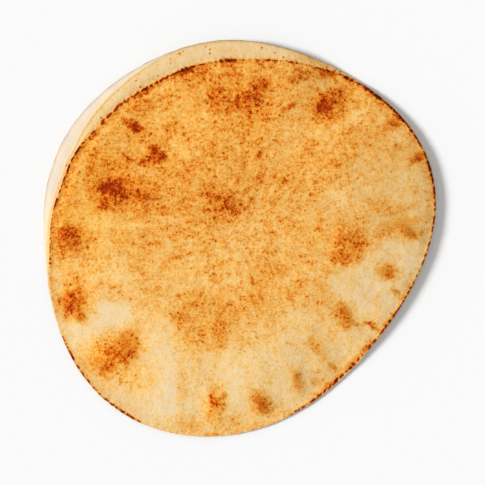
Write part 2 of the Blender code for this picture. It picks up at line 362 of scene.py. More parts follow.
# Blotches are faint on bare crust and stand out more as it darkens
BLOTCHES = (Grain(11.0, 5.5, 51), Grain(5.5, 5.5, 52))
BLOTCHES_ON_BARE_CRUST = 0.3
FULL_BLOTCH_DARKNESS = 60.0

# How raw the crust still looks: 1 is beige and chalky, -1 is a rich yellow gold
Tint = namedtuple("Tint", "x y length width turn_deg rawness")
TINTS = (
    Tint(88, -28, 70, 100, -30, 1.0),
    Tint(98, 28, 64, 76, 0, 1.25),
    Tint(44, -78, 110, 50, 35, 0.65),
    Tint(-48, -94, 94, 50, -10, 0.85),
    Tint(-84, -48, 40, 26, 0, 1.0),
    Tint(-76, -70, 34, 30, 45, -0.7),
    Tint(-88, 30, 60, 90, -20, -0.8),
    Tint(-98, -36, 26, 28, 0, -0.5),
    Tint(-30, 70, 120, 62, 15, -0.45),
    Tint(30, 72, 70, 44, -20, -0.3),
    Tint(62, -5, 34, 30, 40, -0.3),
    Tint(-15, -100, 22, 28, 0, -0.4),
    Tint(-60, -84, 30, 22, 0, -0.3),
    Tint(2, -60, 26, 22, 0, 0.5),
)
TINT_UNEVENNESS = (Grain(13.0, 0.35, 81), Grain(5.0, 0.35, 82))

# Char along the seam: where a stretch lies, how long it is and how heavily it burnt
Burn = namedtuple("Burn", "azimuth_deg span_deg strength")
BURNS = (
    Burn(56, 4, 1.0),
    Burn(47, 10, 1.2),
    Burn(41, 4, 1.0),
    Burn(36, 5, 0.8),
    Burn(31, 6, 0.9),
    Burn(20, 6, 1.0),
    Burn(15, 7, 1.0),
    Burn(6, 3, 0.7),
    Burn(354, 3, 0.7),
    Burn(342, 7, 0.8),
    Burn(331, 9, 1.0),
    Burn(320, 6, 1.0),
    Burn(312, 6, 0.95),
    Burn(303, 8, 0.95),
    Burn(295, 4, 0.9),
    Burn(289, 4, 0.9),
    Burn(286, 3, 0.6),
    Burn(62, 4, 0.75),
    Burn(74, 4, 0.6),
    Burn(84, 9, 0.6),
    Burn(94, 5, 1.2),
    Burn(101, 4, 0.45),
    Burn(108, 6, 0.95),
    Burn(116, 5, 0.95),
    Burn(123, 8, 0.9),
    Burn(132, 6, 0.85),
    Burn(139, 5, 1.0),
    Burn(146, 5, 0.75),
    Burn(152, 6, 0.95),
    Burn(160, 6, 0.95),
    Burn(168, 6, 0.85),
    Burn(176, 5, 0.6),
    Burn(184, 5, 0.5),
    Burn(190, 4, 0.5),
    Burn(214, 6, 0.85),
    Burn(222, 6, 0.85),
    Burn(235, 10, 1.05),
)
SEAM_SINGE = 0.58
QuietStretch = namedtuple("QuietStretch", "start_deg end_deg calm")
QUIET_SEAM = (QuietStretch(53, 76, 0.35), QuietStretch(195, 207, 0.45), QuietStretch(244, 284, 0.8))
QUIET_FADE_DEG = 4

# The line of char, in millimetres inwards from the seam. It lies a little further in where the
# rim is pinched, and furthest at the lower right, behind a thin margin of bare skin.
CHAR_INSET = 0.1
PINCHED_CHAR_INSET = 0.5
SET_BACK_CHAR_INSET = 0.9
SET_BACK_CHAR = Sector(309, 26)
MARGIN_ENDS = (-1.2, -0.5)
LIP_SKIN_DARKNESS = 14
CHAR_REACH = 0.75
STRONG_CHAR_REACH = 0.5
JOINED_CHAR = Sector(27, 40)
JOINED_CHAR_NARROWING = 0.3
CHAR_UNEVENNESS = Grain(6.0 * MM, 0.25, 62)
STITCH_COUNT = 158
STITCH_DRIFT = (12.0 * MM, 27.0)
STITCH_GAP = 0.78
STITCH_GAP_SPAN = (0.35, 0.85)
CHAR_RAGGEDNESS = (2.4 * MM, 2.4)
CHAR_EDGE = (0.25, 0.6)
CHAR_DARKENING = 0.92

# The brown halo round the char, wide or narrow, and weaker on the outer side of the seam
HALO_REACH = (2.4, 1.1)
NARROW_HALO_STARTS_DEG = (154, 160)
NARROW_HALO_ENDS_DEG = (290, 298)
HALO_DARKENING = 52
OUTER_HALO = 0.45
STRONG_OUTER_HALO = 0.35
STRONG_OUTER_HALO_SECTOR = Sector(158, 32)
HALO_TURNS = (-1.5, 0.0)
RIGHT_RIM = Sector(0, 24)
RIGHT_RIM_HALO_LOSS = 0.5
SET_BACK_HALO_GAIN = 0.45

# Colours of the crust by darkness, as linear albedo. From one to the next they change in equal
# ratios. The mesh carries darkness in hundreds.
CrustColour = namedtuple("CrustColour", "name darkness albedo")
CRUST_COLOURS = (
    CrustColour("floury", -14, (0.69, 0.565, 0.415)),
    CrustColour("pale", -3, (0.845, 0.63, 0.35)),
    CrustColour("straw", 20, (0.825, 0.5, 0.165)),
    CrustColour("golden", 50, (0.75, 0.315, 0.045)),
    CrustColour("toasted", 85, (0.62, 0.16, 0.009)),
    CrustColour("scorched", 125, (0.43, 0.054, 0.002)),
    CrustColour("burnt", 160, (0.25, 0.018, 0.001)),
    CrustColour("charred", 210, (0.05, 0.008, 0.003)),
)
STOPS_PER_COLOUR = 4
DARKNESS_RANGE = (-20, 220)
DARKNESS_UNIT = 100.0
RAW_COLOUR = (-0.08, 0.01, 0.32)
# The grey of painted shade, standing in for shade where a fold, the crease or a rim turns from the light
PAINTED_SHADE_COLOUR = (-0.37, -0.37, -0.34)

# Freckles: layers of noise with their size and weight, and their spread in darkness
FRECKLE_LAYERS = ((10.0 * MM, 0.35), (4.6 * MM, 0.6), (2.2 * MM, 0.74), (1.1 * MM, 0.58))
NOISE_MEAN = 0.5
NOISE_SPREAD = 0.115
FRECKLE_SKEW = 0.4
FRECKLE_STRENGTH = 0.85
FRECKLES_ON_BARE_CRUST = 0.035
FRECKLES_PER_DARKNESS = 0.265
DARKEST_FRECKLE = 1.6
DARKEST_FRECKLE_SOFTNESS = 0.5
RAW_CALM = 0.4
BAND_FRECKLES = 0.45
WALL_FRECKLES = 0.05
UNDERSIDE_FRECKLES = 0.95

# Specks: small dark dots, few on golden crust and close together on scorched crust. Their
# sizes are shares of their spacing.
SPECK_SPACING = 2.6 * MM
LEAST_SPECK = 0.30
SPECK_GROWTH = 0.16
SPECK_EDGE = (-0.06, 0.14)
SPECKLED_DARKNESS = (0.24, 1.05)
MOST_SPECKS = 0.8
SPECK_DARKENING = 0.36

# The tan band beyond the seam. It starts browner, and with more dots, at the upper right.
BAND_DARKNESS = 17
BAND_SINGE = 18
BAND_SINGE_STARTS_DEG = (25, 50)
BAND_SINGE_ENDS_DEG = (62, 84)
BAND_RAWNESS = 1.15
BAND_SPECKS = (0.17, 0.6)
BAND_SPECK_STRENGTH = 2.1
BAND_SPECK_SHRINK = 0.12
BAND_SPECK_EDGE = 14.0

# The crease with its painted shade, the pale wall and the underside
CREASE_SHADE_DARKENING = 8
CREASE_SHADE = 0.35
WALL_DARKNESS = -12
WALL_RAWNESS = 0.3
WALL_BLOTCHES = (Grain(13.0 * MM, 3.0, 73), Grain(4.5 * MM, 3.0, 74))
UNDERSIDE_DARKNESS = 26
UNDERSIDE_RAWNESS = 0.6
UNDERSIDE_BLOTCHES = (Grain(22.0 * MM, 16.0, 71), Grain(8.0 * MM, 9.0, 72))

# Painted shade: greyer skin where a fold or the rim turns away from the light, in millimetres inwards from
# the outline
PaintedShade = namedtuple("PaintedShade", "strength middle reach")
# Painted contact shade: a thin grey line on the rolled edge where it curves under to the floor
EDGE_SHADE_LINE = PaintedShade(0.8, 0.0, 1.0)
EDGE_SHADE_LINE_UNEVENNESS = (Grain(5.0 * MM, 0.3, 63),)
# Painted shade inside the right rim, where the crust slopes away from the light
RIGHT_RIM_SHADE = PaintedShade(0.2, 5.5, 3.5)
# Painted shade that tones down the crest of the curled lip where it faces the light
CURLED_LIP_SHADE = PaintedShade(0.16, 2.4, 1.4)
# Painted shade that dulls the left side of the top, whose slopes face the light from the left
LEFT_SIDE_SHADE = 0.13
LEFT_SIDE = (40 * MM, 80 * MM)
# A bluer, less red tint just inside the curled rim
CURLED_RIM_RAWNESS = 0.8
CURLED_RIM_RAW_REACH = 5.0

# Dry crust is matte, a little smoother where it has browned
FINE_GRAIN = 1.6 * MM
PALE_ROUGHNESS = 0.74
BROWNED_SMOOTHNESS = 0.08
ROUGHNESS_GRAIN = 0.16
SPECULAR_LEVEL = 0.04
BUMP_STRENGTH = 0.5
BUMP_HEIGHT = 0.35 * MM
BUMP_FROM_FRECKLES = 0.15
BUMP_FROM_FINE_GRAIN = 0.5

# The picture's frame: the loaf is seen from straight above
CAMERA_HEIGHT = 2.0
FRAME_WIDTH = 0.291
FRAME_CENTRE = (1.2 * MM, -2.7 * MM)
SENSOR_WIDTH = 36.0

# A plain pale floor, a hair below the loaf, in soft light from the left
FLOOR_ALBEDO = 0.85
FLOOR_SIZE = 6.0
FLOOR_DROP = 0.02 * MM
KEY_STRENGTH = 2.94
KEY_FROM_DEG = 178
KEY_ELEVATION_DEG = 40
KEY_SOFTNESS_DEG = 21
KEY_COLOUR = (1.0, 0.995, 0.985)
FILL_STRENGTH = 0.53
FILL_COLOUR = (0.985, 1.0, 1.015, 1.0)


def ramp(value, start, end):
    """Smooth step from 0 at start to 1 at end."""
    share = np.clip((value - start) / (end - start), 0.0, 1.0)
    return share * share * (3.0 - 2.0 * share)


def blend(start, end, share):
    return start + (end - start) * share


def bell(value, middle, reach):
    """1 at the middle, falling off softly on both sides."""
    return np.exp(-(((value - middle) / reach) ** 2))


def waves(azimuth, table):
    """A height that rises and falls round the loaf."""
    return sum(w.height * np.cos(w.count * (azimuth - np.radians(w.crest_deg))) for w in table)


def outline_radius(azimuth):
    return MEAN_RADIUS + waves(azimuth, OUTLINE_WAVES)


def seam_inset(azimuth):
    """How far the seam lies in from the outline: nothing where the rim is pinched."""
    degrees = np.degrees(azimuth) % 360.0
    share = ramp(degrees, *SEAM_LEAVES) * (1.0 - ramp(degrees, *SEAM_REJOINS))
    return share * (SEAM_SETBACK + waves(azimuth, SEAM_WAVES))


def crease_inset(azimuth):
    degrees = np.degrees(azimuth) % 360.0
    climbing = CREASE_PER_DEG * (degrees - CREASE_STARTS_DEG)
    return np.clip(np.minimum(climbing, seam_inset(azimuth) - CREASE_TO_SEAM), 0.0, None)


def rolled_share(azimuth):
    return ramp(seam_inset(azimuth), 0.0, FULLY_ROLLED_AT)


def mound(distance):
    """A rounded bump: 1 in its middle and 0 from distance 1 outwards."""
    return np.clip(1.0 - distance * distance, 0.0, None) ** 2


def degrees_from(azimuth, middle_deg):
    """The way round to the middle, from -180 to 180 degrees."""
    return (np.degrees(azimuth) - middle_deg + 180.0) % 360.0 - 180.0


def within(azimuth, sector):
    return mound(degrees_from(azimuth, sector.middle_deg) / sector.spread_deg)


def pinched_lift(azimuth):
    """Share of its full height that the pinched rim reaches; the curl has an even top."""
    off_middle = degrees_from(azimuth, CURLED_RIM.middle_deg) / CURLED_RIM.spread_deg
    return blend(LOW_RIM_SHARE, 1.0, mound(off_middle * off_middle))


def rim_point(azimuth, station):
    """Distance from the axis and height of one rim station, as two columns."""
    rolled = rolled_share(azimuth)
    own_inset = blend(station.pinched_in, station.rolled_in, rolled)
    inset = station.seam * seam_inset(azimuth) + station.crease * crease_inset(azimuth) + own_inset
    height = blend(station.pinched_up * pinched_lift(azimuth), station.rolled_up, rolled)
    return np.column_stack((outline_radius(azimuth) - inset, height))


def oval_distance(x, y, oval):
    """0 in the middle of an oval and 1 on its edge."""
    turn = np.radians(oval.turn_deg)
    along = (x - oval.x) * np.cos(turn) + (y - oval.y) * np.sin(turn)
    across = (y - oval.y) * np.cos(turn) - (x - oval.x) * np.sin(turn)
    return np.hypot(2.0 * along / oval.length, 2.0 * across / oval.width)


def soft_noise(x, y, cell, seed):
    """A smooth random field, about -1 to 1, whose features are about one cell across."""
    angles = np.random.default_rng(seed).uniform(0.0, 2.0 * np.pi, (NOISE_LATTICE, NOISE_LATTICE))
    column, row = np.floor(x / cell).astype(int), np.floor(y / cell).astype(int)
    right, up = x / cell - column, y / cell - row

    def pull(step_x, step_y):
        angle = angles[(column + step_x) % NOISE_LATTICE, (row + step_y) % NOISE_LATTICE]
        return np.cos(angle) * (right - step_x) + np.sin(angle) * (up - step_y)

    blend_x = ramp(right, 0.0, 1.0)
    blend_y = ramp(up, 0.0, 1.0)
    near = blend(pull(0, 0), pull(1, 0), blend_x)
    far = blend(pull(0, 1), pull(1, 1), blend_x)
    return NOISE_GAIN * blend(near, far, blend_y)


def grain_sum(x, y, grains):
    return sum(g.depth * soft_noise(x, y, g.cell, g.seed) for g in grains)


def top_relief(azimuth, radius):
    """Swells, blisters and pleats on the plain dome; they die away towards the seam."""
    x, y = radius * np.cos(azimuth), radius * np.sin(azimuth)
    relief = sum(s.height * mound(np.hypot(x - s.x, y - s.y) / s.radius) for s in SWELLS)
    relief += sum(b.height * mound(oval_distance(x, y, b)) for b in BLISTERS)
    reach = ramp(radius / outline_radius(azimuth), *PLEAT_REACH)
    relief += PLEAT_HEIGHT * within(azimuth, PLEATED_RIM) * reach * np.cos(PLEAT_COUNT * azimuth)
    inside_seam = outline_radius(azimuth) - seam_inset(azimuth) - radius
    return relief * ramp(inside_seam, *RELIEF_FADES_FROM_SEAM)


def top_point(azimuth, share):
    """A point of the top skin, from the middle at share 0 to the shoulder at share 1."""
    shoulder = rim_point(azimuth, RIM[0])
    dome = CENTRE_HEIGHT - (CENTRE_HEIGHT - DOME_EDGE_HEIGHT) * share**2
    dome += (shoulder[:, 1] - DOME_EDGE_HEIGHT) * share**DOME_BEND_POWER
    return np.column_stack((shoulder[:, 0] * share, dome))


def foot_point(azimuth, share):
    """A point of the flat foot, from its edge at share 1 to the middle at share 0."""
    edge = rim_point(azimuth, RIM[-1])
    return edge * np.array([share, 1.0])


def smooth_rim_point(azimuth, place):
    """A point on the smooth curve through the rim stations; place counts the stations."""
    first = min(int(place), len(RIM) - 2)
    points = []
    for index in range(first - 1, first + 3):
        if index < 0:
            points.append(top_point(azimuth, NEXT_TO_RIM))
        elif index >= len(RIM):
            points.append(foot_point(azimuth, NEXT_TO_RIM))
        else:
            points.append(rim_point(azimuth, RIM[index]))
    before, start, end, after = points
    length_before = np.linalg.norm(start - before, axis=1, keepdims=True)
    length = np.linalg.norm(end - start, axis=1, keepdims=True)
    length_after = np.linalg.norm(after - end, axis=1, keepdims=True)
    leaving = (start - before) / length_before * length + (end - start) / length * length_before
    leaving *= length / (length_before + length)
    arriving = (end - start) / length * length_after + (after - end) / length_after * length
    arriving *= length / (length + length_after)
    t = place - first
    curve = (2 * t**3 - 3 * t**2 + 1) * start + (t**3 - 2 * t**2 + t) * leaving
    curve += (3 * t**2 - 2 * t**3) * end + (t**3 - t**2) * arriving
    curve[:, 0] = np.minimum(curve[:, 0], outline_radius(azimuth))
    curve[:, 1] = np.maximum(curve[:, 1], 0.0)
    return curve


def ring_azimuths(segments):
    return np.arange(segments) * 2.0 * np.pi / segments


def segments_at(share, most):
    """Fewer segments for smaller rings, always a halving of the most."""
    segments = most
    while share <= 0.5 and segments > LEAST_SEGMENTS:
        segments //= 2
        share *= 2.0
    return segments


Ring = namedtuple("Ring", "place points azimuth")


def make_rings():
    """Rings of points from the middle of the top, over the rim, to the middle of the foot.

    A ring's place is its share of the top skin up to 1, then 1 plus its rim station.
    """
    rings = []
    for row in range(1, TOP_RINGS):
        share = row / TOP_RINGS
        azimuth = ring_azimuths(segments_at(share, RIM_SEGMENTS))
        rings.append(Ring(share, top_point(azimuth, share), azimuth))
    azimuth = ring_azimuths(RIM_SEGMENTS)
    rings.append(Ring(1.0, rim_point(azimuth, RIM[0]), azimuth))
    for index, station in enumerate(RIM[1:]):
        for row in range(1, station.rows + 1):
            place = index + row / station.rows
            rings.append(Ring(1.0 + place, smooth_rim_point(azimuth, place), azimuth))
    for row in range(1, FOOT_RINGS):
        share = 1.0 - row / FOOT_RINGS
        azimuth = ring_azimuths(segments_at(share, FOOT_SEGMENTS))
        rings.append(Ring(len(RIM) + 1.0 - share, foot_point(azimuth, share), azimuth))
    for ring in rings:
        ring.points[:, 1] += top_relief(ring.azimuth, ring.points[:, 0])
    return rings


def ring_faces(inner_start, inner_count, outer_start, outer_count):
    """Faces between two neighbouring rings; one may have twice the points of the other."""
    k = np.arange(min(inner_count, outer_count))
    after = (k + 1) % len(k)
    if inner_count == outer_count:
        quads = np.column_stack((inner_start + k, outer_start + k, outer_start + after, inner_start + after))
        return quads.tolist()
    if outer_count > inner_count:
        a, b = inner_start + k, inner_start + after
        c, d, e = outer_start + 2 * k, outer_start + 2 * k + 1, outer_start + (2 * k + 2) % outer_count
        corners = ((a, c, d), (a, d, b), (b, d, e))
    else:
        a, b = outer_start + k, outer_start + after
        c, d, e = inner_start + 2 * k, inner_start + 2 * k + 1, inner_start + (2 * k + 2) % inner_count
        corners = ((a, d, c), (a, b, d), (b, e, d))
    return np.concatenate([np.column_stack(corner) for corner in corners]).tolist()


def pole_faces(pole, start, count, facing_up):
    k = np.arange(count)
    after = (k + 1) % count
    ends = (start + k, start + after) if facing_up else (start + after, start + k)
    return np.column_stack((np.full(count, pole), *ends)).tolist()


class Loaf:
    """The closed mesh of the loaf as flat arrays, one entry for each vertex."""

    def __init__(self):
        rings = make_rings()
        counts = [len(ring.azimuth) for ring in rings]
        starts = (1 + np.cumsum([0] + counts[:-1])).tolist()
        last = 1 + sum(counts)
        middle = np.array([0.0])
        top = top_point(middle, 0.0)
        top[:, 1] += top_relief(middle, middle)
        points = np.concatenate([top] + [ring.points for ring in rings] + [[[0.0, 0.0]]])
        self.azimuth = np.concatenate([middle] + [ring.azimuth for ring in rings] + [middle])
        places = np.repeat([ring.place for ring in rings], counts)
        self.place = np.concatenate([[0.0], places, [len(RIM) + 1.0]])
        self.radius, self.height = points[:, 0], points[:, 1]
        self.x, self.y = self.radius * np.cos(self.azimuth), self.radius * np.sin(self.azimuth)
        self.faces = pole_faces(0, starts[0], counts[0], True)
        for k in range(len(rings) - 1):
            self.faces += ring_faces(starts[k], counts[k], starts[k + 1], counts[k + 1])
        self.faces += pole_faces(last, starts[-1], counts[-1], False)
        self.uv_radius = self.unrolled_radius(rings, counts)

    def unrolled_radius(self, rings, counts):
        """How far each ring lies from the middle of the top, measured along the surface."""
        means = [np.zeros(2)] + [ring.points.mean(axis=0) for ring in rings] + [np.zeros(2)]
        means[0][1] = CENTRE_HEIGHT
        steps = np.linalg.norm(np.diff(means, axis=0), axis=1)
        path = np.concatenate(([0.0], np.cumsum(steps)))
        return np.repeat(path, [1] + counts + [1])


def on_rim(place, first, last):
    """1 between two rim stations, fading to 0 over one station on either side."""
    station = place - 1.0
    return ramp(station, first - 1.0, first) * (1.0 - ramp(station, last, last + 1.0))


def edge_noise(azimuth, cell, seed):
    """Noise that runs along the outline and closes on itself."""
    radius = outline_radius(azimuth)
    return soft_noise(radius * np.cos(azimuth), radius * np.sin(azimuth), cell, seed)


def seam_beads(azimuth):
    """1 on the crests of the small beads along the pinched seam, and 0 between them."""
    drift = BEAD_DRIFT.depth * edge_noise(azimuth, BEAD_DRIFT.cell, BEAD_DRIFT.seed)
    return 0.5 + 0.5 * np.cos(BEAD_COUNT * azimuth + drift)


def cut_depth(loaf):
    """How deep the fine relief cuts into each point of the loaf."""
    station = loaf.place - 1.0
    top = 1.0 - ramp(station, *CRUST_GRAIN_ENDS)
    foot = ramp(station, *FOOT_GRAIN_STARTS)
    rim = np.clip(1.0 - top - foot, 0.0, 1.0)
    depth = np.zeros_like(loaf.x)
    for share, grains in ((top, CRUST_GRAINS), (rim, RIM_GRAINS), (foot, FOOT_GRAINS)):
        mean_cut = MEAN_CUT_SHARE * sum(g.depth for g in grains)
        depth += share * np.clip(mean_cut + grain_sum(loaf.x, loaf.y, grains), 0.0, None)
    depth += on_rim(loaf.place, *BEADED_LIP) * BEAD_NOTCH * (1.0 - seam_beads(loaf.azimuth)) ** 2

    # The shoulder behind the curled rim is a little softer than in the solid
    off_shoulder = outline_radius(loaf.azimuth) - loaf.radius - SHOULDER_EASE_MIDDLE
    shoulder = within(loaf.azimuth, CURLED_RIM) * mound(off_shoulder / SHOULDER_EASE_REACH)
    return depth + top * SHOULDER_EASE * shoulder


def bake_darkness(x, y):
    """How dark the oven has baked a spot of the top skin, in the units of the marks."""
    x, y = x / MM, y / MM
    ragged_x = x + sum(g.depth * soft_noise(x, y, g.cell, g.seed) for g in MARK_RAGGEDNESS)
    ragged_y = y + sum(g.depth * soft_noise(x, y, g.cell, g.seed + 1) for g in MARK_RAGGEDNESS)
    darkness = np.full_like(x, GOLDEN_CRUST)
    for marks in (BROAD_MARKS, PALE_MARKS, GOLDEN_MARKS, SCORCH_MARKS):
        for mark in marks:
            reach = np.exp(-oval_distance(ragged_x, ragged_y, mark) ** mark.crispness)
            darkness = blend(darkness, mark.darkness, reach)
    blotch_share = BLOTCHES_ON_BARE_CRUST + darkness / FULL_BLOTCH_DARKNESS
    blotches = grain_sum(x, y, BLOTCHES) * blotch_share
    return darkness + OVERALL_BAKE + blotches


def crust_rawness(x, y):
    """The rawness of the tints at a spot of the top skin."""
    x, y = x / MM, y / MM
    rawness = np.zeros_like(x)
    for tint in TINTS:
        rawness = blend(rawness, tint.rawness, np.exp(-oval_distance(x, y, tint) ** 3))
    return rawness + grain_sum(x, y, TINT_UNEVENNESS)


def burn_strength(azimuth):
    """How heavily the seam has burnt at each azimuth."""
    degrees = np.degrees(azimuth) % 360.0
    strength = np.full_like(azimuth, SEAM_SINGE)
    for start, end, calm in QUIET_SEAM:
        begun = ramp(degrees, start - QUIET_FADE_DEG, start)
        ended = ramp(degrees, end, end + QUIET_FADE_DEG)
        strength *= 1.0 - calm * (begun * (1.0 - ended))
    for burn in BURNS:
        off = degrees_from(azimuth, burn.azimuth_deg)
        strength = blend(strength, burn.strength, np.exp(-((2.0 * off / burn.span_deg) ** 4)))
    return strength


class Zones:
    """Which zone each point of the loaf lies in, as shares from 0 to 1.

    Distances from the seam and from the outline are in millimetres inwards.
    """

    def __init__(self, loaf):
        self.station = loaf.place - 1.0
        self.degrees = np.degrees(loaf.azimuth) % 360.0
        self.from_outline = (outline_radius(loaf.azimuth) - loaf.radius) / MM
        self.inside_seam = (outline_radius(loaf.azimuth) - seam_inset(loaf.azimuth) - loaf.radius) / MM
        self.rolled = rolled_share(loaf.azimuth)
        self.top = 1.0 - ramp(self.station, *TOP_SKIN_ENDS)
        self.underside = ramp(self.station, *UNDERSIDE_STARTS)
        self.wall = self.rolled * ramp(self.station, *WALL_STARTS) * (1.0 - self.underside)
        self.in_crease = self.rolled * bell(self.station, CREASE, CREASE_REACH)
        self.near_seam = 1.0 - ramp(self.station, *CHAR_ENDS)
        self.curl = within(loaf.azimuth, CURLED_RIM)
        self.right_rim = within(loaf.azimuth, RIGHT_RIM)
        self.set_back = within(loaf.azimuth, SET_BACK_CHAR)
        singe_ended = ramp(self.degrees, *BAND_SINGE_ENDS_DEG)
        self.singed = ramp(self.degrees, *BAND_SINGE_STARTS_DEG) * (1.0 - singe_ended)


def side_darkness(loaf, zones):
    """The tan band, the crease with its painted shade, the pale wall and the underside."""
    band = BAND_DARKNESS + BAND_SINGE * zones.singed
    pale = WALL_DARKNESS + grain_sum(loaf.x, loaf.y, WALL_BLOTCHES)
    # The crease is darkened with painted shade
    side = blend(band, pale, zones.wall) + CREASE_SHADE_DARKENING * zones.in_crease
    below = UNDERSIDE_DARKNESS + grain_sum(loaf.x, loaf.y, UNDERSIDE_BLOTCHES)
    return blend(side, below, zones.underside)


def line_of_char(zones):
    """How far each point lies inwards from the line of char, in millimetres."""
    inset = CHAR_INSET + PINCHED_CHAR_INSET * (1.0 - zones.rolled) + SET_BACK_CHAR_INSET * zones.set_back
    return zones.inside_seam - inset


def halo_darkness(loaf, zones, strength):
    """How much darker the crust is in the brown halo of the char."""
    off_line = line_of_char(zones)
    narrow = ramp(zones.degrees, *NARROW_HALO_STARTS_DEG) * (1.0 - ramp(zones.degrees, *NARROW_HALO_ENDS_DEG))
    outer = OUTER_HALO + STRONG_OUTER_HALO * within(loaf.azimuth, STRONG_OUTER_HALO_SECTOR)
    halo = bell(off_line, 0.0, blend(*HALO_REACH, narrow)) * blend(outer, 1.0, ramp(off_line, *HALO_TURNS))
    local = 1.0 - RIGHT_RIM_HALO_LOSS * zones.right_rim + SET_BACK_HALO_GAIN * zones.set_back
    return HALO_DARKENING * zones.near_seam * strength**2 * halo * local


def crust_darkness(loaf, zones, strength):
    """How dark the whole loaf is baked, with the painted shade of the crease, without the freckles and the
    beads of char.
    """
    baked = bake_darkness(loaf.x, loaf.y)
    darkness = blend(side_darkness(loaf, zones), baked, zones.top)
    darkness += halo_darkness(loaf, zones, strength)
    margin = zones.set_back * (1.0 - ramp(line_of_char(zones), *MARGIN_ENDS)) * zones.near_seam
    return blend(darkness, LIP_SKIN_DARKNESS, margin)


def char_share(loaf, zones, strength):
    """How much of the seam's char reaches a point, before it breaks up into beads."""
    joined = within(loaf.azimuth, JOINED_CHAR)
    reach = (CHAR_REACH + STRONG_CHAR_REACH * strength) * (1.0 - JOINED_CHAR_NARROWING * joined)
    across = bell(line_of_char(zones), 0.0, reach)
    uneven = CHAR_UNEVENNESS.depth * edge_noise(loaf.azimuth, CHAR_UNEVENNESS.cell, CHAR_UNEVENNESS.seed)
    return across * zones.near_seam * (strength + uneven * across) * (1.0 + joined)


def freckle_share(loaf, zones):
    """How lively the freckles are: calm on raw crust and on the pale wall."""
    on_top = 1.0 - RAW_CALM * np.clip(crust_rawness(loaf.x, loaf.y), 0.0, 1.0)
    below = BAND_FRECKLES + (WALL_FRECKLES - BAND_FRECKLES) * zones.wall
    below += (UNDERSIDE_FRECKLES - BAND_FRECKLES) * zones.underside
    return blend(below, on_top, zones.top)


def rawness_share(loaf, zones):
    """The rawness tint of the whole loaf; it is strongest just inside the curled rim."""
    on_top = crust_rawness(loaf.x, loaf.y)
    on_top += CURLED_RIM_RAWNESS * zones.curl * bell(zones.inside_seam, 0.0, CURLED_RIM_RAW_REACH)
    side = blend(BAND_RAWNESS, WALL_RAWNESS, zones.wall)
    below = blend(side, UNDERSIDE_RAWNESS, zones.underside)
    return blend(below, on_top, zones.top)


def painted_shade_share(loaf, zones):
    """Painted shade: a thin line at the rolled edge, the crease, the faint folds of the curled rim and the
    left side of the top.
    """
    # Painted contact shade along the low edge of the rolled rim
    edge_shade_line = zones.rolled * bell(zones.from_outline, EDGE_SHADE_LINE.middle, EDGE_SHADE_LINE.reach)
    edge_shade_line *= 1.0 - ramp(zones.station, *EDGE_SHADE_LINE_ENDS)
    edge_shade_line *= EDGE_SHADE_LINE.strength + grain_sum(loaf.x, loaf.y, EDGE_SHADE_LINE_UNEVENNESS)
    # Painted shade in the crease is added to the edge line
    painted_shade = edge_shade_line + CREASE_SHADE * zones.in_crease
    # Painted shade on the left side of the top, which faces the light
    painted_shade += LEFT_SIDE_SHADE * zones.top * ramp(-loaf.x, *LEFT_SIDE)
    # Painted shade of the folds inside the right rim and on the curled lip
    for share, fold in ((zones.right_rim, RIGHT_RIM_SHADE), (zones.curl, CURLED_LIP_SHADE)):
        painted_shade += fold.strength * share * bell(zones.from_outline, fold.middle, fold.reach)
    return painted_shade


def paint(loaf):
    """The attributes that the material reads, one value for each vertex."""
    zones = Zones(loaf)
    strength = burn_strength(loaf.azimuth)
    in_band = (1.0 - zones.top) * (1.0 - zones.wall) * (1.0 - zones.underside)
    return {
        # Bake darkness, with the painted shade of the crease
        "bake_and_crease_shade": crust_darkness(loaf, zones, strength) / DARKNESS_UNIT,
        "char": char_share(loaf, zones, strength),
        "freckles": freckle_share(loaf, zones),
        "rawness": rawness_share(loaf, zones),
        # Painted shade, which the material reads as a grey tint
        "painted_shade": painted_shade_share(loaf, zones),
        "dots": blend(*BAND_SPECKS, zones.singed) * in_band,
    }


def solid_shift(loaf):
    """From the axis of the outline to the origin of the solid."""
    low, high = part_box(NODE)
    return np.array([
        (low[0] + high[0] - loaf.x.min() - loaf.x.max()) / 2.0,
        (low[1] + high[1] - loaf.y.min() - loaf.y.max()) / 2.0,
        low[2],
    ])


def add_bake_map(mesh, loaf):
    """Unrolled discs for the top and the underside, side by side and without overlaps."""
    vertex_of_loop = np.empty(len(mesh.loops), dtype=np.int32)
    mesh.loops.foreach_get("vertex_index", vertex_of_loop)
    loop_total = np.empty(len(mesh.polygons), dtype=np.int32)
    mesh.polygons.foreach_get("loop_total", loop_total)
    face_of_loop = np.repeat(np.arange(len(mesh.polygons)), loop_total)
    place_of_loop = loaf.place[vertex_of_loop]
    face_place = np.bincount(face_of_loop, place_of_loop) / loop_total
    below = face_place[face_of_loop] > 1.0 + BULGE
    whole = loaf.uv_radius[-1]
    split = loaf.uv_radius[loaf.place <= 1.0 + BULGE].max()
    radius = loaf.uv_radius[vertex_of_loop]
    top_radius = TOP_DISC.radius * radius / split
    under_radius = UNDER_DISC.radius * (whole - radius) / (whole - split)
    disc_radius = np.where(below, under_radius, top_radius)
    azimuth = loaf.azimuth[vertex_of_loop] * np.where(below, -1.0, 1.0)
    u = np.where(below, UNDER_DISC.u, TOP_DISC.u) + disc_radius * np.cos(azimuth)
    v = np.where(below, UNDER_DISC.v, TOP_DISC.v) + disc_radius * np.sin(azimuth)
    uv = np.column_stack((u, v))
    layer = mesh.uv_layers.new(name="OFBake")
    layer.data.foreach_set("uv", uv.astype(np.float32).ravel())


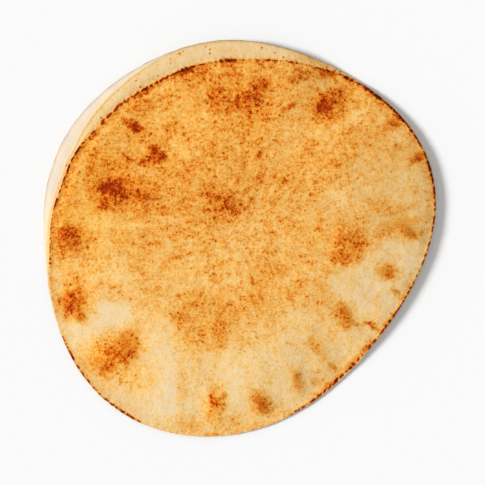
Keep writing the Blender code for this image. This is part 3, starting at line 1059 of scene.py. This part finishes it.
def make_crust(loaf):
    mesh = bpy.data.meshes.new("pita_crust")
    points = np.column_stack((loaf.x, loaf.y, loaf.height))
    mesh.from_pydata(points.tolist(), [], loaf.faces)
    normals = np.empty(points.size)
    mesh.vertex_normals.foreach_get("vector", normals)
    points -= normals.reshape(-1, 3) * cut_depth(loaf)[:, None]
    points[:, 2] = np.maximum(points[:, 2], 0.0)
    points += solid_shift(loaf)
    mesh.vertices.foreach_set("co", points.astype(np.float32).ravel())
    for name, values in paint(loaf).items():
        attribute = mesh.attributes.new(name, "FLOAT", "POINT")
        attribute.data.foreach_set("value", values.astype(np.float32))
    add_bake_map(mesh, loaf)
    mesh.shade_smooth()
    mesh.update()
    mesh.materials.append(crust_material(solid_shift(loaf)))
    crust = bpy.data.objects.new("pita_crust", mesh)
    bpy.context.scene.collection.objects.link(crust)
    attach(crust, "root")
    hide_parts(NODE)


class Nodes:
    """Short calls for building a material's nodes."""

    def __init__(self, material):
        self.tree = material.node_tree

    def new(self, kind, **settings):
        node = self.tree.nodes.new(kind)
        for name, value in settings.items():
            setattr(node, name, value)
        return node

    def feed(self, socket, value):
        if isinstance(value, bpy.types.NodeSocket):
            self.tree.links.new(value, socket)
        else:
            socket.default_value = value

    def math(self, operation, first, second=0.0, third=0.0, clamp=False):
        node = self.new("ShaderNodeMath", operation=operation, use_clamp=clamp)
        for socket, value in zip(node.inputs, (first, second, third)):
            self.feed(socket, value)
        return node.outputs["Value"]

    def vector(self, operation, first, second):
        node = self.new("ShaderNodeVectorMath", operation=operation)
        self.feed(node.inputs[0], first)
        self.feed(node.inputs["Scale"] if operation == "SCALE" else node.inputs[1], second)
        return node.outputs[0]

    def place(self):
        return self.new("ShaderNodeTexCoord").outputs["Object"]

    def noise(self, size, detail=2.0):
        """Noise whose features are about this size in metres."""
        node = self.new("ShaderNodeTexNoise")
        self.feed(node.inputs["Vector"], self.place())
        node.inputs["Scale"].default_value = 1.0 / size
        node.inputs["Detail"].default_value = detail
        return node.outputs["Fac"]

    def stitches(self, middle):
        """0 on the beads of char that follow each other round the seam, and 1 between them."""
        axes = self.new("ShaderNodeSeparateXYZ")
        self.feed(axes.inputs[0], self.place())
        right = self.math("SUBTRACT", axes.outputs["X"], middle[0])
        up = self.math("SUBTRACT", axes.outputs["Y"], middle[1])
        azimuth = self.math("ARCTAN2", up, right)
        cell, drift = STITCH_DRIFT
        drifting = self.math("MULTIPLY", self.noise(cell), drift)
        phase = self.math("MULTIPLY_ADD", azimuth, STITCH_COUNT, drifting)
        return self.math("MULTIPLY_ADD", self.math("COSINE", phase), -0.5, 0.5)

    def attribute(self, name):
        return self.new("ShaderNodeAttribute", attribute_name=name).outputs["Fac"]

    def smooth_step(self, value, start, end):
        node = self.new("ShaderNodeMapRange", interpolation_type="SMOOTHSTEP")
        for socket, setting in zip(node.inputs, (value, start, end, 0.0, 1.0)):
            self.feed(socket, setting)
        return node.outputs["Result"]


def freckle_noise(nodes):
    """Layered noise with a mean of 0 and a spread of about 1."""
    mixed = 0.0
    for size, weight in FRECKLE_LAYERS:
        mixed = nodes.math("MULTIPLY_ADD", nodes.noise(size), weight / NOISE_SPREAD, mixed)
    mean = sum(weight for size, weight in FRECKLE_LAYERS) * NOISE_MEAN / NOISE_SPREAD
    return nodes.math("SUBTRACT", mixed, mean)


def with_freckles(nodes, bake_and_crease_shade, noise):
    """Freckles lean towards the dark, and stand out more on darker crust."""
    skewed = nodes.math("EXPONENT", nodes.math("MULTIPLY", noise, FRECKLE_SKEW))
    skewed = nodes.math("SUBTRACT", skewed, math.exp(FRECKLE_SKEW**2 / 2.0))
    freckle = nodes.math("MULTIPLY", skewed, FRECKLE_STRENGTH / FRECKLE_SKEW)
    baked = nodes.math("MAXIMUM", bake_and_crease_shade, 0.0)
    spread = nodes.math("MULTIPLY_ADD", baked, FRECKLES_PER_DARKNESS, FRECKLES_ON_BARE_CRUST)
    spread = nodes.math("MULTIPLY", spread, nodes.attribute("freckles"))
    return nodes.math("MULTIPLY_ADD", freckle, spread, bake_and_crease_shade)


def with_specks(nodes, darkness):
    """Each cell draws whether it has a speck, and how large the speck is."""
    cells = nodes.new("ShaderNodeTexVoronoi")
    nodes.feed(cells.inputs["Vector"], nodes.place())
    cells.inputs["Scale"].default_value = 1.0 / SPECK_SPACING
    draw = nodes.new("ShaderNodeSeparateColor")
    nodes.feed(draw.inputs["Color"], cells.outputs["Color"])
    dots = nodes.attribute("dots")
    in_band = nodes.math("MULTIPLY", dots, BAND_SPECK_EDGE, clamp=True)

    density = nodes.math("MULTIPLY", nodes.smooth_step(darkness, *SPECKLED_DARKNESS), MOST_SPECKS)
    chosen = nodes.math("LESS_THAN", draw.outputs["Red"], nodes.math("MAXIMUM", density, dots))
    size = nodes.math("MULTIPLY_ADD", draw.outputs["Green"], SPECK_GROWTH, LEAST_SPECK)
    size = nodes.math("MULTIPLY_ADD", in_band, -BAND_SPECK_SHRINK, size)
    dot = nodes.smooth_step(nodes.math("SUBTRACT", size, cells.outputs["Distance"]), *SPECK_EDGE)
    strength = nodes.math("MULTIPLY", in_band, BAND_SPECK_STRENGTH)
    strength = nodes.math("MAXIMUM", strength, nodes.attribute("freckles"))
    speck = nodes.math("MULTIPLY", nodes.math("MULTIPLY", dot, chosen), strength)
    darkness = nodes.math("MULTIPLY_ADD", speck, SPECK_DARKENING, darkness)
    return nodes.math("SMOOTH_MIN", darkness, DARKEST_FRECKLE, DARKEST_FRECKLE_SOFTNESS)


def with_char(nodes, darkness, middle):
    """The charred beads that follow the seam."""
    gap = nodes.math("MULTIPLY", nodes.smooth_step(nodes.stitches(middle), *STITCH_GAP_SPAN), STITCH_GAP)
    cell, raggedness = CHAR_RAGGEDNESS
    ragged = nodes.math("SUBTRACT", nodes.noise(cell, detail=1.0), NOISE_MEAN)
    beads = nodes.math("SUBTRACT", nodes.math("MULTIPLY_ADD", ragged, raggedness, 1.0), gap)
    char = nodes.smooth_step(nodes.math("MULTIPLY", beads, nodes.attribute("char")), *CHAR_EDGE)
    return nodes.math("MULTIPLY_ADD", char, CHAR_DARKENING, darkness)


def crust_stops():
    """Darkness and colour of every stop between the palest crust and char."""
    for lighter, darker in zip(CRUST_COLOURS, CRUST_COLOURS[1:]):
        for step in range(STOPS_PER_COLOUR):
            share = step / STOPS_PER_COLOUR
            pairs = zip(lighter.albedo, darker.albedo)
            albedo = tuple(light ** (1.0 - share) * dark ** share for light, dark in pairs)
            yield blend(lighter.darkness, darker.darkness, share), albedo
    yield CRUST_COLOURS[-1].darkness, CRUST_COLOURS[-1].albedo


def crust_colour(nodes, darkness):
    """The colour of that darkness, tinted by how raw the crust is and greyed by painted shade."""
    low, high = DARKNESS_RANGE
    span = high - low
    place = nodes.math("MULTIPLY_ADD", darkness, DARKNESS_UNIT / span, -low / span, clamp=True)
    colours = nodes.new("ShaderNodeValToRGB")
    stops = colours.color_ramp.elements
    levels = list(crust_stops())
    while len(stops) < len(levels):
        stops.new(1.0)
    for stop, (level, albedo) in zip(stops, levels):
        stop.position = (level - low) / span
        stop.color = (*albedo, 1.0)
    nodes.feed(colours.inputs["Fac"], place)

    # Raw crust is beige, with more blue and less red; gold crust is the other way round
    raw = nodes.vector("SCALE", RAW_COLOUR, nodes.attribute("rawness"))
    # Painted shade greys the colour where folds, the crease and rims turn from the light
    painted_shade_tint = nodes.vector("SCALE", PAINTED_SHADE_COLOUR, nodes.attribute("painted_shade"))
    tint = nodes.vector("ADD", nodes.vector("ADD", (1.0, 1.0, 1.0), raw), painted_shade_tint)
    return nodes.vector("MULTIPLY", colours.outputs["Color"], tint)


def crust_material(middle):
    material = bpy.data.materials.new("baked_crust")
    material.use_nodes = True
    nodes = Nodes(material)
    shader = material.node_tree.nodes["Principled BSDF"]
    noise = freckle_noise(nodes)
    fine = nodes.noise(FINE_GRAIN, detail=1.0)

    darkness = with_freckles(nodes, nodes.attribute("bake_and_crease_shade"), noise)
    darkness = with_specks(nodes, darkness)
    darkness = with_char(nodes, darkness, middle)
    nodes.feed(shader.inputs["Base Color"], crust_colour(nodes, darkness))

    even_roughness = nodes.math("MULTIPLY_ADD", darkness, -BROWNED_SMOOTHNESS, PALE_ROUGHNESS)
    roughness = nodes.math("MULTIPLY_ADD", fine, ROUGHNESS_GRAIN, even_roughness, clamp=True)
    nodes.feed(shader.inputs["Roughness"], roughness)
    shader.inputs["Specular IOR Level"].default_value = SPECULAR_LEVEL

    bump = nodes.new("ShaderNodeBump")
    bump.inputs["Strength"].default_value = BUMP_STRENGTH
    bump.inputs["Distance"].default_value = BUMP_HEIGHT
    fine_height = nodes.math("MULTIPLY", fine, BUMP_FROM_FINE_GRAIN)
    height = nodes.math("MULTIPLY_ADD", noise, BUMP_FROM_FRECKLES, fine_height)
    nodes.feed(bump.inputs["Height"], height)
    nodes.feed(shader.inputs["Normal"], bump.outputs["Normal"])
    return material


def add_floor():
    half = FLOOR_SIZE / 2.0
    corners = [(x, y, -FLOOR_DROP) for x, y in ((-half, -half), (half, -half), (half, half), (-half, half))]
    mesh = bpy.data.meshes.new("floor")
    mesh.from_pydata(corners, [], [(0, 1, 2, 3)])
    material = bpy.data.materials.new("pale_floor")
    material.use_nodes = True
    shader = material.node_tree.nodes["Principled BSDF"]
    shader.inputs["Base Color"].default_value = (FLOOR_ALBEDO, FLOOR_ALBEDO, FLOOR_ALBEDO, 1.0)
    shader.inputs["Roughness"].default_value = 1.0
    shader.inputs["Specular IOR Level"].default_value = 0.0
    mesh.materials.append(material)
    floor = bpy.data.objects.new("floor", mesh)
    bpy.context.scene.collection.objects.link(floor)


def add_lights():
    sun = bpy.data.lights.new("key", "SUN")
    sun.energy = KEY_STRENGTH
    sun.angle = math.radians(KEY_SOFTNESS_DEG)
    sun.color = KEY_COLOUR
    lamp = bpy.data.objects.new("key", sun)
    lamp.rotation_euler = (0.0, math.radians(90 - KEY_ELEVATION_DEG), math.radians(KEY_FROM_DEG))
    bpy.context.scene.collection.objects.link(lamp)
    world = bpy.data.worlds.new("studio")
    bpy.context.scene.world = world
    world.use_nodes = True
    background = world.node_tree.nodes["Background"]
    background.inputs["Color"].default_value = FILL_COLOUR
    background.inputs["Strength"].default_value = FILL_STRENGTH
    bpy.context.scene.view_settings.view_transform = "Standard"


def add_camera(shift):
    lens = bpy.data.cameras.new("camera")
    lens.sensor_width = SENSOR_WIDTH
    lens.lens = SENSOR_WIDTH * CAMERA_HEIGHT / FRAME_WIDTH
    camera = bpy.data.objects.new("camera", lens)
    rim_height = RIM[LIP_DIP].pinched_up
    camera.location = (FRAME_CENTRE[0] + shift[0], FRAME_CENTRE[1] + shift[1], CAMERA_HEIGHT + rim_height)
    bpy.context.scene.collection.objects.link(camera)
    bpy.context.scene.camera = camera


def main():
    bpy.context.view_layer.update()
    loaf = Loaf()
    make_crust(loaf)
    add_floor()
    add_lights()
    add_camera(solid_shift(loaf))
    bpy.context.view_layer.update()


main()
